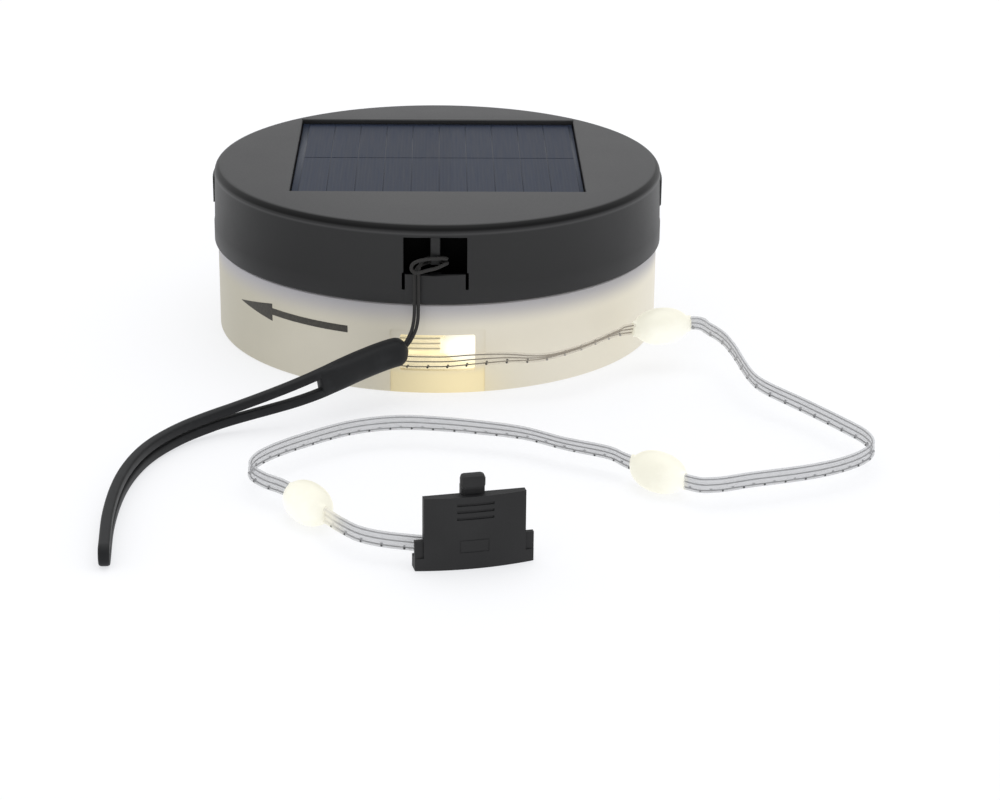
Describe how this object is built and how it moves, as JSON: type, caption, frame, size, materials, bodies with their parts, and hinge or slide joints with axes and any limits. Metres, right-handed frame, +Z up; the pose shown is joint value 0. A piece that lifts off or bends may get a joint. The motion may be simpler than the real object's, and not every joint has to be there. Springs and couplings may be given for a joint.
{
  "type": "solar string lights",
  "caption": "Round winding drum with a solar lid over a frosted shell; a flat string of lit beads leaves its window and ends in a clip; a hanging strap hangs from the lid.",
  "frame": {"origin": "centre of the frosted shell's underside, on the surface it stands on", "axes": "+Z up along the drum's axis; -Y towards the string window and the lanyard pocket; +X towards the charging port"},
  "size_m": [0.1786, 0.227, 0.0447],
  "materials": {
    "black_plastic": "satin black moulded plastic",
    "solar_cell": "laminated cells, semi-gloss",
    "foam": "closed-cell foam",
    "frosted_plastic": "frosted translucent plastic",
    "soft_rubber": "matte silicone",
    "clear_lens": "clear moulded lens",
    "steel": "plated steel",
    "felt": "pressed felt",
    "circuit_board": "green solder mask",
    "battery_foil": "foil pouch",
    "string_pvc": "clear PVC ribbon with dark conductors",
    "bead_pvc": "milky warm-white bead",
    "cord_fibre": "dark braided fibre"
  },
  "bodies": {
    "base": {"frosted_shell": "frosted_plastic", "string_run_1": "string_pvc", "string_run_2": "string_pvc", "string_run_3": "string_pvc", "string_run_4": "string_pvc", "light_bead_1": "bead_pvc", "light_bead_2": "bead_pvc", "light_bead_3": "bead_pvc", "end_clip": "black_plastic"},
    "lid": {"lid_housing": "black_plastic", "solar_panel": "solar_cell", "panel_adhesive": "foam", "charge_lens": "clear_lens", "chassis_plate": "black_plastic", "chassis_seal": "soft_rubber", "circuit_board": "circuit_board", "board_screw_1": "steel", "board_screw_2": "steel", "board_screw_3": "steel", "board_screw_4": "steel", "lid_screw_1": "steel", "lid_screw_2": "steel", "lid_screw_3": "steel", "lid_screw_4": "steel", "spool_screw_1": "steel", "spool_screw_2": "steel", "spool_screw_3": "steel", "usb_port": "steel", "tact_switch": "black_plastic", "battery_cell": "battery_foil", "battery_pad": "foam", "panel_lead": "cord_fibre", "battery_lead": "cord_fibre", "string_lead": "string_pvc", "spool": "frosted_plastic", "felt_ring": "felt", "retaining_washer": "steel", "centre_screw": "steel", "wound_string": "string_pvc", "spool_bead": "bead_pvc", "lanyard_cord": "cord_fibre", "lanyard_strap": "soft_rubber"},
    "button": {"mode_button": "soft_rubber"},
    "cover": {"port_cover": "soft_rubber"}
  },
  "joints": [
    {"name": "drum_spin", "type": "hinge", "parent": "base", "child": "lid", "pos_m": [0, 0, 0.02], "axis": [0, 0, -1], "continuous": true, "deforming": ["lanyard_cord", "lanyard_strap"]},
    {"name": "button_press", "type": "slide", "parent": "lid", "child": "button", "axis": [1, 0, 0], "range_m": [0, 0.0008], "stiffness_N_per_m": 400},
    {"name": "cover_swing", "type": "hinge", "parent": "lid", "child": "cover", "pos_m": [0.059, 0.007, 0.0377], "axis": [0, 0, 1], "range_deg": [0, 95]}
  ]
}
